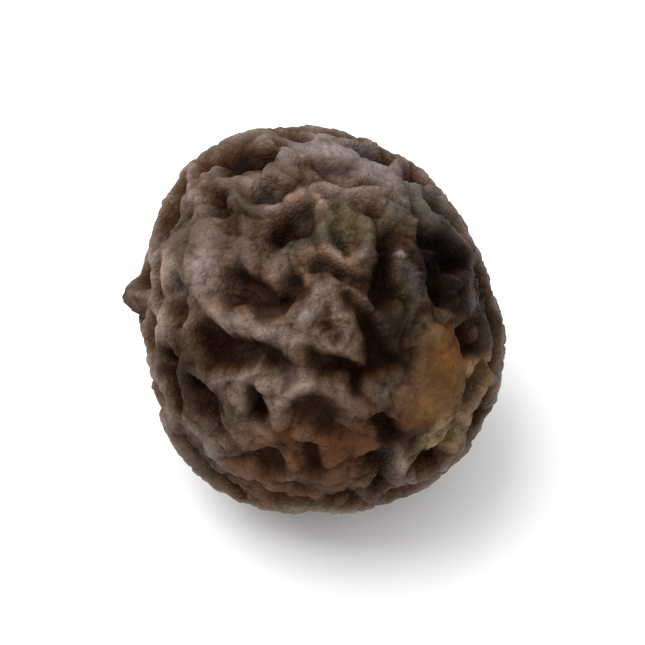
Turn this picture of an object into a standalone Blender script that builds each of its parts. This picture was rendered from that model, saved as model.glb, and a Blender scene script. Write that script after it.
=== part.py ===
"""A dried peppercorn: one wrinkled berry at its real size, in metres, +Z up.

The berry rests on z = 0, with the origin under the middle of its body. The body is a sphere with a few
shoulders and flats. A net of rounded ridges with hollows between them covers it. It has a nub where the
flower was, a scar where the stem was, and a patch where the skin is worn smooth.

The seen side faces an eye that looks along +Y and down by VIEW_ELEVATION. A place on it is given by how
far it is to the right and up of the middle, as that eye sees it. The net's lines there are drawn by hand,
and on the other sides it grows from cells.
"""

import math

import bmesh
import bpy
import numpy as np

MM = 0.001

# Body
BODY_RADIUS = 2.42 * MM
CENTRE_HEIGHT = 2.38 * MM
VIEW_ELEVATION = math.radians(50)

# Net
RIDGE_HEIGHT = 0.09 * MM
HOLLOW_DEPTH = 0.30 * MM
WALL_STEEPNESS = 3
BLEND_POWER = 6

# Cells of the hidden sides: each is a hollow, and ridges run along the borders between them. Most cells run
# together with one or two neighbours, as one longer hollow with no ridge across it.
CELL_SPACING = 0.68 * MM
CELL_GAP = 0.42 * MM
CELL_JITTER = 0.10 * MM
CELL_REACHES = (0.21 * MM, 0.33 * MM)
CELL_DEPTHS = (0.55, 1.0)
LONGEST_CHAIN = 3
JOIN_GAP = 0.95 * MM
LONE_CHANCE = 0.15
VALLEY_REACHES = (0.19 * MM, 0.26 * MM)
SEEN_SIDE_SPREAD = math.radians(57)
NEAREST_CELLS = 8
RIDGE_HALF_WIDTHS = (0.09 * MM, 0.15 * MM)
RIDGE_SHARES = (0.70, 1.0)
LOW_RIDGE_SHARE = 0.04
LOW_RIDGE_CHANCE = 0.15

# How far waves shift the net sideways, so that its ridges wind, and the length of those waves
WANDERS = (
    (0.10 * MM, 1.3 * MM),
    (0.035 * MM, 0.5 * MM),
)

# Seeds of the random draws
CELL_SEED = 11
RIDGE_SEED = 12
JOIN_SEED = 13
WANDER_SEED = 21
PATCH_SEED = 31
WAVE_COUNT = 24
WAVE_SPREAD = (0.7, 1.3)

# Nub
NUB_PLACE = (-2.50 * MM, 0.33 * MM)
NUB_HEIGHT = 0.32 * MM
NUB_SPREAD = 0.32 * MM
NUB_TIP_RADIUS = 0.05 * MM
NUB_SHARPNESS = 1.4

# Stem scar
SCAR_DIRECTION = (0.96, 0.14, -0.24)
SCAR_RING_RADIUS = 0.45 * MM
SCAR_RING_HEIGHT = 0.17 * MM
SCAR_RING_HALF_WIDTH = 0.12 * MM
SCAR_HOLE_DEPTH = 0.34 * MM
SCAR_HOLE_RADIUS = 0.28 * MM
SCAR_CLEAR_RADIUS = 0.70 * MM
SCAR_CLEAR_STEEPNESS = 6

# Worn patch. The groove and the softness and wobble of its edge are shares of the patch's half size.
PATCH_PLACE = (1.50 * MM, -0.85 * MM)
PATCH_HALF_WIDTH = 0.56 * MM
PATCH_HALF_HEIGHT = 0.78 * MM
PATCH_BULGE = 0.02 * MM
PATCH_GROOVE_DEPTH = 0.09 * MM
PATCH_GROOVE_RADIUS = 1.06
PATCH_GROOVE_HALF_WIDTH = 0.10
PATCH_EDGE_SOFTNESS = 0.06
PATCH_EDGE_WOBBLE = 0.07
PATCH_WOBBLE_LENGTH = 0.8 * MM

# Mesh
GRID_CUTS = 109
FACE_BUDGET = 11000
REST_SNAP = 0.02 * MM
CHUNK = 8192

# Shoulders and flats of the body: degrees round the seen outline from its right, height, spread in degrees.
SHOULDERS = (
    (22, -0.22 * MM, 26),
    (132, 0.32 * MM, 29),
    (172, -0.26 * MM, 22),
    (237, 0.14 * MM, 20),
    (315, 0.11 * MM, 28),
)

# Hollows of the seen side: the places that each runs through and its reach, in millimetres, and its share of
# the full depth.
SEEN_HOLLOWS = (
    (((-1.35, 2.15), (-1.06, 2.06), (-0.72, 2.14)), 0.20, 1.0),
    (((-1.98, 1.75), (-2.00, 1.35)), 0.18, 0.7),
    (((-1.41, 1.60),), 0.18, 0.9),
    (((-0.75, 1.62), (-0.58, 1.75)), 0.16, 0.8),
    (((-0.55, 1.14), (-0.38, 1.22), (-0.22, 1.33)), 0.17, 1.0),
    (((-1.12, 0.60), (-1.05, 0.40), (-0.80, 0.25), (-0.50, 0.28), (-0.35, 0.50)), 0.18, 1.0),
    (((0.30, 1.05), (0.38, 1.25)), 0.12, 0.5),
    (((0.00, 0.76), (0.25, 0.62), (0.50, 0.50)), 0.14, 0.8),
    (((0.80, 1.10), (0.85, 0.80), (0.80, 0.50), (0.72, 0.35)), 0.18, 1.0),
    (((1.40, 1.12), (1.55, 1.05), (1.70, 0.88)), 0.22, 1.0),
    (((1.66, 0.95), (1.55, 0.75), (1.55, 0.40)), 0.19, 1.0),
    (((2.04, 0.65), (2.10, 0.35)), 0.17, 0.9),
    (((0.50, 0.12), (0.62, -0.10), (0.72, -0.35), (0.85, -0.58)), 0.18, 1.0),
    (((-0.08, -0.48), (0.15, -0.54), (0.35, -0.64), (0.48, -0.76)), 0.14, 1.0),
    (((0.06, 0.12), (0.08, -0.08)), 0.08, 0.5),
    (((-1.60, -0.22), (-1.35, -0.33), (-1.05, -0.36), (-0.65, -0.46)), 0.18, 1.0),
    (((-2.00, -0.45), (-1.98, -0.80), (-1.90, -1.05)), 0.18, 0.9),
    (((-1.62, -0.80), (-1.50, -1.05), (-1.42, -1.25)), 0.17, 0.9),
    (((-0.86, -0.98), (-0.84, -1.20)), 0.14, 1.0),
    (((-0.15, -1.12), (0.08, -1.25), (0.25, -1.40)), 0.20, 0.6),
    (((-0.68, -1.70), (-0.62, -1.85)), 0.15, 0.6),
    (((-0.15, -1.65), (-0.12, -1.95)), 0.16, 0.7),
    (((0.75, -1.30), (0.95, -1.42)), 0.20, 1.0),
    (((0.70, -1.75), (0.75, -2.10)), 0.17, 0.9),
    (((1.30, -1.88), (1.48, -1.85)), 0.18, 0.9),
    (((2.15, -0.95), (2.00, -1.35)), 0.17, 0.8),
    (((1.85, -0.15), (1.98, -0.40)), 0.17, 0.9),
    (((1.15, 0.12),), 0.16, 0.4),
    (((0.05, 2.03),), 0.16, 0.35),
    (((-1.90, 0.40), (-1.85, 0.15)), 0.14, 0.7),
    (((-1.75, -1.70), (-1.45, -2.00), (-1.15, -2.20)), 0.16, 0.7),
    (((-0.55, -2.30), (-0.25, -2.35)), 0.16, 0.6),
    (((0.20, -2.30), (0.45, -2.35)), 0.16, 0.6),
    (((1.25, 1.42),), 0.12, 0.5),
    (((0.62, 1.50),), 0.13, 0.5),
)

# Ridges of the seen side: the places that each runs through and its half width, in millimetres, and its share
# of the full height.
SEEN_RIDGES = (
    (((-1.62, 2.20), (-1.72, 1.90), (-1.55, 1.52), (-1.47, 1.19), (-1.55, 0.74), (-1.60, 0.50),
      (-1.39, 0.16), (-1.02, -0.05), (-0.69, -0.13), (-0.27, -0.05), (-0.11, 0.20), (0.02, 0.45)), 0.17, 1.0),
    (((-1.39, 1.98), (-1.18, 1.81), (-0.93, 1.77), (-0.69, 1.90), (-0.52, 2.14), (-0.27, 2.26)), 0.14, 0.9),
    (((-1.45, 2.33), (-1.10, 2.42), (-0.80, 2.45), (-0.52, 2.40), (-0.27, 2.26)), 0.15, 0.9),
    (((-0.27, 2.26), (0.00, 2.15), (0.26, 2.25), (0.55, 2.06), (0.80, 1.93), (1.05, 1.75)), 0.17, 0.9),
    (((-1.10, 1.60), (-0.85, 1.45), (-0.60, 1.42), (-0.30, 1.62), (0.00, 1.72), (0.35, 1.66), (0.62, 1.70),
      (0.95, 1.60)), 0.15, 0.8),
    (((-0.98, 1.30), (-1.02, 1.00), (-0.95, 0.78)), 0.14, 0.6),
    (((-0.62, 0.58), (-0.50, 0.78), (-0.27, 0.98), (-0.02, 1.15), (0.05, 1.40), (-0.05, 1.60)), 0.13, 0.9),
    (((-0.02, 1.15), (0.05, 0.95), (0.26, 0.76), (0.47, 0.84), (0.58, 1.07), (0.50, 1.32), (0.30, 1.45)),
     0.12, 0.8),
    (((0.02, 0.45), (0.18, 0.22), (0.30, -0.05), (0.40, -0.32)), 0.14, 0.8),
    (((-0.11, 0.20), (-0.12, -0.05), (-0.02, -0.25), (0.20, -0.35), (0.40, -0.40)), 0.12, 0.7),
    (((-1.62, -0.62), (-1.39, -0.79), (-1.10, -0.71), (-0.85, -0.65), (-0.62, -0.85), (-0.50, -0.98),
      (-0.27, -0.80), (-0.02, -0.78), (0.22, -0.84), (0.40, -1.05)), 0.14, 0.9),
    (((-1.10, -0.75), (-1.14, -1.05), (-1.16, -1.30), (-1.00, -1.50)), 0.13, 0.8),
    (((-0.52, -0.96), (-0.55, -1.20), (-0.60, -1.42), (-0.80, -1.48), (-1.00, -1.50)), 0.13, 0.7),
    (((-1.80, -1.21), (-1.59, -1.45), (-1.39, -1.70), (-1.14, -1.91), (-0.95, -1.98)), 0.15, 0.9),
    (((0.22, -0.84), (0.40, -1.15), (0.50, -1.40), (0.50, -1.70)), 0.12, 0.6),
    (((0.55, -0.90), (0.80, -0.88), (0.98, -1.00), (1.05, -1.25)), 0.12, 0.7),
    (((0.97, 0.86), (1.15, 0.66), (1.21, 0.28), (1.10, 0.02)), 0.12, 0.8),
    (((1.88, 0.53), (1.92, 0.20), (1.80, 0.00)), 0.12, 0.7),
    (((1.05, 1.75), (1.30, 1.55), (1.55, 1.35), (1.80, 1.15), (2.00, 0.85)), 0.17, 0.8),
    (((0.95, 1.60), (0.88, 1.38), (0.75, 1.25)), 0.12, 0.6),
    (((-2.45, 0.33), (-2.15, 0.55), (-1.97, 0.78), (-1.75, 0.95)), 0.13, 0.7),
    (((-2.35, 0.15), (-2.15, 0.05), (-2.00, -0.20)), 0.12, 0.8),
    (((1.03, -1.80), (1.05, -2.10)), 0.13, 0.9),
    (((-0.95, -1.98), (-0.60, -2.05), (-0.30, -2.00), (0.00, -2.12), (0.30, -2.05), (0.50, -2.20)),
     0.13, 0.6),
    (((-0.60, -1.42), (-0.40, -1.62), (-0.35, -1.85)), 0.12, 0.5),
    (((-0.35, -1.45), (-0.05, -1.48), (0.15, -1.65), (0.15, -1.90)), 0.12, 0.5),
    (((-1.60, 0.50), (-1.65, 0.15), (-1.75, -0.15), (-1.78, -0.50), (-1.78, -0.85), (-1.80, -1.21)),
     0.12, 0.7),
)


def seen_axes():
    """Right, up and towards the eye, as unit vectors."""
    sine = math.sin(VIEW_ELEVATION)
    cosine = math.cos(VIEW_ELEVATION)
    return np.array(((1, 0, 0), (0, sine, cosine), (0, -cosine, sine)))


def unit(vectors):
    """The vectors, each at length 1."""
    return vectors / np.linalg.norm(vectors, axis=-1, keepdims=True)


def bump(offset, half_width, power=2):
    """A smooth hump: 1 at an offset of 0, near 0 past its half width, and steeper with a higher power."""
    return np.exp(-(np.abs(offset / half_width) ** power))


def distance(directions, centre):
    """Straight distance on the body's sphere from each direction to a centre, or to a centre of its own."""
    return BODY_RADIUS * np.linalg.norm(directions - centre, axis=1)


def smooth_noise(directions, wavelength, seed):
    """A smooth random value of spread 1 for each direction, from a sum of waves."""
    rng = np.random.default_rng(seed)
    headings = unit(rng.normal(size=(WAVE_COUNT, 3)))
    pace = 2 * math.pi * BODY_RADIUS / wavelength * rng.uniform(*WAVE_SPREAD, WAVE_COUNT)
    phases = rng.uniform(0, 2 * math.pi, WAVE_COUNT)
    waves = np.sin(directions @ (headings * pace[:, None]).T + phases)
    return waves.sum(axis=1) / math.sqrt(WAVE_COUNT / 2)


def shoulder_height(directions):
    """Height of the body's shoulders and flats."""
    right, up, _ = seen_axes()
    total = np.zeros(len(directions))
    for angle, height, spread in SHOULDERS:
        side = math.cos(math.radians(angle)) * right + math.sin(math.radians(angle)) * up
        off = np.linalg.norm(directions - side, axis=1)
        total += height * bump(off, math.sqrt(2) * math.radians(spread))
    return total


def seen_direction(across, up):
    """The direction from the body's middle to a place on its seen side, by closer and closer tries."""
    radius = BODY_RADIUS
    for _ in range(6):
        depth = math.sqrt(max(radius**2 - across**2 - up**2, 0))
        direction = unit(np.array((across, up, depth)) @ seen_axes())
        radius = BODY_RADIUS + shoulder_height(direction[None])[0]
    return direction


def lattice_directions(count):
    """Directions spread evenly over a sphere, along a spiral from pole to pole."""
    step = np.arange(count) + 0.5
    height = 1 - 2 * step / count
    ring = np.sqrt(1 - height**2)
    turn = step * math.pi * (3 - math.sqrt(5))
    return np.column_stack((ring * np.cos(turn), ring * np.sin(turn), height))


def wander(directions):
    """The directions, shifted a little sideways so that ridges wind instead of running straight."""
    shifted = directions
    seed = WANDER_SEED
    for size, wavelength in WANDERS:
        shift = np.column_stack([smooth_noise(directions, wavelength, seed + axis) for axis in range(3)])
        shifted = shifted + shift * size / BODY_RADIUS
        seed += 3
    return unit(shifted)


def line_gap(directions, line):
    """Distance on the body's sphere from each direction to a line through the directions of a few places."""
    gap = distance(directions, line[0])
    for start, end in zip(line, line[1:]):
        run = end - start
        share = np.clip((directions - start) @ run / (run @ run), 0, 1)
        nearest = start + share[:, None] * run
        gap = np.minimum(gap, distance(directions, nearest))
    return gap


def drawn_lines(strokes):
    """Each hand-drawn line's directions, shifted as the net is, with its width and share."""
    lines = []
    for places, width, share in strokes:
        line = np.array([seen_direction(across * MM, up * MM) for across, up in places])
        lines.append((wander(line), width * MM, share))
    return lines


def make_cells(drawn_hollows):
    """Each cell's shifted direction, reach and depth. Cells of no depth stand for the drawn hollows."""
    rng = np.random.default_rng(CELL_SEED)
    seen = np.concatenate([line for line, _, _ in drawn_hollows])
    towards = seen_axes()[2]
    cell_area = CELL_SPACING**2 * math.sqrt(3) / 2
    lattice = lattice_directions(round(4 * math.pi * BODY_RADIUS**2 / cell_area))
    lattice = unit(lattice + rng.normal(size=lattice.shape) * CELL_JITTER / BODY_RADIUS)
    hidden = wander(lattice[lattice @ towards < math.cos(SEEN_SIDE_SPREAD)])
    apart = np.array([distance(seen, centre).min() for centre in hidden])
    hidden = hidden[apart > CELL_GAP]
    centres = np.concatenate((seen, hidden))
    reaches = rng.uniform(*CELL_REACHES, len(centres))
    depths = rng.uniform(*CELL_DEPTHS, len(centres))
    depths[: len(seen)] = 0
    return centres, reaches, depths


def join_cells(centres, depths):
    """Pairs of neighbouring cells that run together, in chains of up to LONGEST_CHAIN cells."""
    rng = np.random.default_rng(JOIN_SEED)
    chain = np.arange(len(centres))
    pairs = []
    for one in rng.permutation(np.flatnonzero(depths)):
        if rng.random() < LONE_CHANCE:
            continue
        gaps = distance(centres, centres[one])
        for other in np.argsort(gaps)[1:NEAREST_CELLS]:
            joined = (chain == chain[one]) | (chain == chain[other])
            fits = chain[one] != chain[other] and joined.sum() <= LONGEST_CHAIN
            if fits and depths[other] > 0 and gaps[other] < JOIN_GAP:
                chain[joined] = chain[one]
                pairs.append((one, other))
                break
    return np.array(pairs)


def make_valleys(centres, depths, pairs):
    """Start, end, reach and depth of the hollow that joins each pair of cells."""
    rng = np.random.default_rng(JOIN_SEED)
    starts, ends = centres[pairs.T]
    reaches = rng.uniform(*VALLEY_REACHES, len(pairs))
    return starts, ends, reaches, depths[pairs].mean(axis=1)


def make_ridges(depths, pairs):
    """Share of the full height, and half width, of the ridge between each two cells."""
    rng = np.random.default_rng(RIDGE_SEED)
    size = (len(depths), len(depths))
    shares = rng.uniform(*RIDGE_SHARES, size)
    shares[rng.random(size) < LOW_RIDGE_CHANCE] = LOW_RIDGE_SHARE
    widths = rng.uniform(*RIDGE_HALF_WIDTHS, size)
    shares = np.triu(shares) + np.triu(shares, 1).T
    widths = np.triu(widths) + np.triu(widths, 1).T
    drawn = depths == 0
    shares[drawn[:, None] & drawn[None, :]] = LOW_RIDGE_SHARE
    one, other = pairs.T
    shares[one, other] = LOW_RIDGE_SHARE
    shares[other, one] = LOW_RIDGE_SHARE
    return shares, widths


def valley_hollows(directions, valleys):
    """How much of a hollow each valley gives at each direction, from 0 to 1."""
    starts, ends, reaches, depths = valleys
    runs = ends - starts
    lengths = (runs**2).sum(axis=1)
    along = directions @ runs.T - (starts * runs).sum(axis=1)
    share = np.clip(along / lengths, 0, 1)
    squares = 2 - 2 * directions @ starts.T - 2 * share * along + share**2 * lengths
    gaps = BODY_RADIUS * np.sqrt(np.maximum(squares, 0))
    return depths * bump(gaps, reaches, WALL_STEEPNESS)


def grown_net(directions, cells, valleys, ridges):
    """How much of a ridge, and of a hollow, the cells give at each direction, from 0 to 1."""
    centres, reaches, depths = cells
    ridge_shares, ridge_widths = ridges
    gaps = BODY_RADIUS * np.sqrt(np.maximum(2 - 2 * directions @ centres.T, 0))
    hollows = np.hstack((depths * bump(gaps, reaches, WALL_STEEPNESS), valley_hollows(directions, valleys)))
    hollow = (hollows**BLEND_POWER).sum(axis=1) ** (1 / BLEND_POWER)
    nearest = np.argpartition(gaps, NEAREST_CELLS, axis=1)[:, :NEAREST_CELLS]
    near_gaps = np.take_along_axis(gaps, nearest, axis=1)
    closest = near_gaps.min(axis=1)
    clear = np.ones(len(directions))
    for first in range(NEAREST_CELLS):
        for second in range(first + 1, NEAREST_CELLS):
            one = nearest[:, first]
            other = nearest[:, second]
            apart = BODY_RADIUS * np.linalg.norm(centres[one] - centres[other], axis=1)
            farther = np.maximum(near_gaps[:, first], near_gaps[:, second])
            off_ridge = (farther**2 - closest**2) / (2 * apart)
            clear *= 1 - ridge_shares[one, other] * bump(off_ridge, ridge_widths[one, other])
    return 1 - clear, hollow


def add_drawn(directions, ridge, hollow, drawn_ridges, drawn_hollows):
    """The net's ridges and hollows with the hand-drawn ones among them."""
    clear = 1 - ridge
    for line, half_width, share in drawn_ridges:
        clear = np.minimum(clear, 1 - share * bump(line_gap(directions, line), half_width))
    powered = hollow**BLEND_POWER
    for line, reach, share in drawn_hollows:
        powered += (share * bump(line_gap(directions, line), reach, WALL_STEEPNESS)) ** BLEND_POWER
    return 1 - clear, np.minimum(powered ** (1 / BLEND_POWER), 1)


def net_height(directions):
    """Height of the net of ridges and hollows over the body."""
    drawn_hollows = drawn_lines(SEEN_HOLLOWS)
    drawn_ridges = drawn_lines(SEEN_RIDGES)
    cells = make_cells(drawn_hollows)
    pairs = join_cells(cells[0], cells[2])
    valleys = make_valleys(cells[0], cells[2], pairs)
    ridges = make_ridges(cells[2], pairs)
    heights = []
    for start in range(0, len(directions), CHUNK):
        shifted = wander(directions[start : start + CHUNK])
        ridge, hollow = grown_net(shifted, cells, valleys, ridges)
        ridge, hollow = add_drawn(shifted, ridge, hollow, drawn_ridges, drawn_hollows)
        heights.append(RIDGE_HEIGHT * ridge - HOLLOW_DEPTH * hollow * (1 - ridge))
    return np.concatenate(heights)


def nub_height(directions):
    """Height of the pointed nub."""
    off = distance(directions, seen_direction(*NUB_PLACE))
    off = np.hypot(off, NUB_TIP_RADIUS) - NUB_TIP_RADIUS
    return NUB_HEIGHT * bump(off, NUB_SPREAD, NUB_SHARPNESS)


def scar_height(directions):
    """Height of the stem scar's ring and hole, and how much of the net it takes away."""
    off = distance(directions, unit(np.array(SCAR_DIRECTION)))
    ring = SCAR_RING_HEIGHT * bump(off - SCAR_RING_RADIUS, SCAR_RING_HALF_WIDTH)
    hole = SCAR_HOLE_DEPTH * bump(off, SCAR_HOLE_RADIUS, WALL_STEEPNESS)
    cover = bump(off, SCAR_CLEAR_RADIUS, SCAR_CLEAR_STEEPNESS)
    return ring - hole, cover


def patch_edge(directions):
    """Distance from the middle of the worn patch, as a share of its uneven half size."""
    centre = seen_direction(*PATCH_PLACE)
    up = seen_axes()[1]
    upwards = unit(up - centre * (up @ centre))
    sideways = np.cross(upwards, centre)
    offset = (directions - centre) * BODY_RADIUS
    across = offset @ sideways / PATCH_HALF_WIDTH
    along = offset @ upwards / PATCH_HALF_HEIGHT
    depth = offset @ centre / PATCH_HALF_WIDTH
    wobble = PATCH_EDGE_WOBBLE * smooth_noise(directions, PATCH_WOBBLE_LENGTH, PATCH_SEED)
    return np.sqrt(across**2 + along**2 + depth**2) + wobble


def patch_height(directions):
    """Height of the worn patch and of the groove round it, and how much of the net it takes away."""
    edge = patch_edge(directions)
    cover = 1 / (1 + np.exp((edge - 1) / PATCH_EDGE_SOFTNESS))
    bulge = PATCH_BULGE * bump(edge, 1, WALL_STEEPNESS)
    groove = PATCH_GROOVE_DEPTH * bump(edge - PATCH_GROOVE_RADIUS, PATCH_GROOVE_HALF_WIDTH)
    return bulge - groove, cover


def surface_points(directions):
    """The berry's surface along each direction, resting on z = 0."""
    scar, scar_cover = scar_height(directions)
    patch, patch_cover = patch_height(directions)
    net = net_height(directions) * (1 - scar_cover) * (1 - patch_cover)
    height = shoulder_height(directions) + nub_height(directions) + scar + patch + net
    points = directions * (BODY_RADIUS + height)[:, None]
    points[:, 2] = np.maximum(points[:, 2] + CENTRE_HEIGHT, 0)
    return points


def cube_to_sphere(corners):
    """Directions through the points of a cube of half size 1, spread evenly."""
    return unit(np.tan(corners * math.pi / 4))


def berry_mesh():
    """A finely divided cube, shaped into the berry."""
    shape = bmesh.new()
    bmesh.ops.create_cube(shape, size=2)
    bmesh.ops.subdivide_edges(shape, edges=shape.edges, cuts=GRID_CUTS, use_grid_fill=True)
    mesh = bpy.data.meshes.new("peppercorn")
    shape.to_mesh(mesh)
    shape.free()
    corners = np.empty(len(mesh.vertices) * 3)
    mesh.vertices.foreach_get("co", corners)
    points = surface_points(cube_to_sphere(corners.reshape(-1, 3)))
    mesh.vertices.foreach_set("co", points.ravel())
    mesh.update()
    mesh.shade_smooth()
    return mesh


def thin_mesh(mesh):
    """The mesh with fewer faces, most of them where it bends most, and its rest spot flat."""
    full = bpy.data.objects.new("full", mesh)
    bpy.context.scene.collection.objects.link(full)
    thin = full.modifiers.new("fewer faces", "DECIMATE")
    thin.ratio = FACE_BUDGET / (2 * len(mesh.polygons))
    thin.use_collapse_triangulate = True
    depsgraph = bpy.context.evaluated_depsgraph_get()
    thinned = bpy.data.meshes.new_from_object(full.evaluated_get(depsgraph))
    bpy.data.objects.remove(full)
    for vertex in thinned.vertices:
        if vertex.co.z < REST_SNAP:
            vertex.co.z = 0
    thinned.name = mesh.name
    return thinned


def skin_material():
    """Dark brown, dull, dried skin."""
    material = bpy.data.materials.new("dried skin")
    material.use_nodes = True
    shader = material.node_tree.nodes["Principled BSDF"]
    shader.inputs["Base Color"].default_value = (0.075, 0.052, 0.042, 1)
    shader.inputs["Roughness"].default_value = 0.62
    shader.inputs["Metallic"].default_value = 0
    return material


def clear_scene():
    """Remove every object that the file opened with."""
    for item in list(bpy.data.objects):
        bpy.data.objects.remove(item)


def main():
    clear_scene()
    collection = bpy.data.collections.new("dried peppercorn")
    bpy.context.scene.collection.children.link(collection)
    mesh = thin_mesh(berry_mesh())
    mesh.materials.append(skin_material())
    collection.objects.link(bpy.data.objects.new("peppercorn", mesh))


main()
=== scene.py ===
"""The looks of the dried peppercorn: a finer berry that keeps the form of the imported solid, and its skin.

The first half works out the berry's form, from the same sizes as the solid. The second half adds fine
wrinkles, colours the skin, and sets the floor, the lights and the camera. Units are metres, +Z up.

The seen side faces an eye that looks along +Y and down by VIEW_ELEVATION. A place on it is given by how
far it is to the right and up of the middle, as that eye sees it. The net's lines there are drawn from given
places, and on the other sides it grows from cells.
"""

import math

import bmesh
import bpy
import numpy as np
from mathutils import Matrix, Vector


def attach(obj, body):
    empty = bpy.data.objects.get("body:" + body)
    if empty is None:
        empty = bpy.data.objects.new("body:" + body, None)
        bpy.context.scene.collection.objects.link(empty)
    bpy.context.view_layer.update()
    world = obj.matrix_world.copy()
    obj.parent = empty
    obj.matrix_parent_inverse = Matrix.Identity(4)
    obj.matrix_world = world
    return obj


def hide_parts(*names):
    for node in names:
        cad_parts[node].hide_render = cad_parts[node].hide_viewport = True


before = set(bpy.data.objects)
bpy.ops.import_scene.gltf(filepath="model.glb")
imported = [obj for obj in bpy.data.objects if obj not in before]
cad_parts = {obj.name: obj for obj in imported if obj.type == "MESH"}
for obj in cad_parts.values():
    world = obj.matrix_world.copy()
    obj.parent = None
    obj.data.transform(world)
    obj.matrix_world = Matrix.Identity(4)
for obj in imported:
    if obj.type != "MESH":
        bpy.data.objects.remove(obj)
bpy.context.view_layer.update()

MM = 0.001

# Body
BODY_RADIUS = 2.42 * MM
CENTRE_HEIGHT = 2.38 * MM
VIEW_ELEVATION = math.radians(50)
PLACE_TRIES = 6

# Net
RIDGE_HEIGHT = 0.09 * MM
HOLLOW_DEPTH = 0.30 * MM
WALL_STEEPNESS = 3
BLEND_POWER = 6

# Cells of the hidden sides: each is a hollow, and ridges run along the borders between them. Most cells run
# together with one or two neighbours, as one longer hollow with no ridge across it.
CELL_SPACING = 0.68 * MM
CELL_GAP = 0.42 * MM
CELL_JITTER = 0.10 * MM
CELL_REACHES = (0.21 * MM, 0.33 * MM)
CELL_DEPTHS = (0.55, 1.0)
LONGEST_CHAIN = 3
JOIN_GAP = 0.95 * MM
LONE_CHANCE = 0.15
VALLEY_REACHES = (0.19 * MM, 0.26 * MM)
SEEN_SIDE_SPREAD = math.radians(57)
NEAREST_CELLS = 8
RIDGE_HALF_WIDTHS = (0.09 * MM, 0.15 * MM)
RIDGE_SHARES = (0.70, 1.0)
LOW_RIDGE_SHARE = 0.04
LOW_RIDGE_CHANCE = 0.15

# How far waves shift the net sideways, so that its ridges wind, and the length of those waves
WANDERS = (
    (0.10 * MM, 1.3 * MM),
    (0.035 * MM, 0.5 * MM),
)

# Seeds of the random draws
CELL_SEED = 11
RIDGE_SEED = 12
JOIN_SEED = 13
WANDER_SEED = 21
PATCH_SEED = 31
WAVE_COUNT = 24
WAVE_SPREAD = (0.7, 1.3)

# Nub
NUB_PLACE = (-2.50 * MM, 0.33 * MM)
NUB_HEIGHT = 0.32 * MM
NUB_SPREAD = 0.32 * MM
NUB_TIP_RADIUS = 0.05 * MM
NUB_SHARPNESS = 1.4

# Stem scar
SCAR_DIRECTION = (0.96, 0.14, -0.24)
SCAR_RING_RADIUS = 0.45 * MM
SCAR_RING_HEIGHT = 0.17 * MM
SCAR_RING_HALF_WIDTH = 0.12 * MM
SCAR_HOLE_DEPTH = 0.34 * MM
SCAR_HOLE_RADIUS = 0.28 * MM
SCAR_CLEAR_RADIUS = 0.70 * MM
SCAR_CLEAR_STEEPNESS = 6

# Worn patch. The groove and the softness and wobble of its edge are shares of the patch's half size.
PATCH_PLACE = (1.50 * MM, -0.85 * MM)
PATCH_HALF_WIDTH = 0.56 * MM
PATCH_HALF_HEIGHT = 0.78 * MM
PATCH_BULGE = 0.02 * MM
PATCH_GROOVE_DEPTH = 0.09 * MM
PATCH_GROOVE_RADIUS = 1.06
PATCH_GROOVE_HALF_WIDTH = 0.10
PATCH_EDGE_SOFTNESS = 0.06
PATCH_EDGE_WOBBLE = 0.07
PATCH_WOBBLE_LENGTH = 0.8 * MM

# Mesh
GRID_CUTS = 127
CHUNK = 8192

# Fine wrinkles run where random waves cross 0: the waves' length, and the wrinkles' depth and half width, on
# waves of spread 1
CREASES = (
    (0.62 * MM, 0.034 * MM, 0.32),
    (0.40 * MM, 0.024 * MM, 0.36),
    (0.26 * MM, 0.014 * MM, 0.40),
    (0.17 * MM, 0.008 * MM, 0.44),
)
LUMP_LENGTH = 0.30 * MM
LUMP_HEIGHT = 0.007 * MM
PORE_LENGTH = 0.15 * MM
PORE_HEIGHT = 0.003 * MM
CREST_SHARE = 0.75
WORN_SHARE = 0.60
CREASE_SEED = 41
LUMP_SEED = 51
PORE_SEED = 52

# Shoulders and flats of the body: degrees round the seen outline from its right, height, spread in degrees.
SHOULDERS = (
    (22, -0.22 * MM, 26),
    (132, 0.32 * MM, 29),
    (172, -0.26 * MM, 22),
    (237, 0.14 * MM, 20),
    (315, 0.11 * MM, 28),
)

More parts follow.
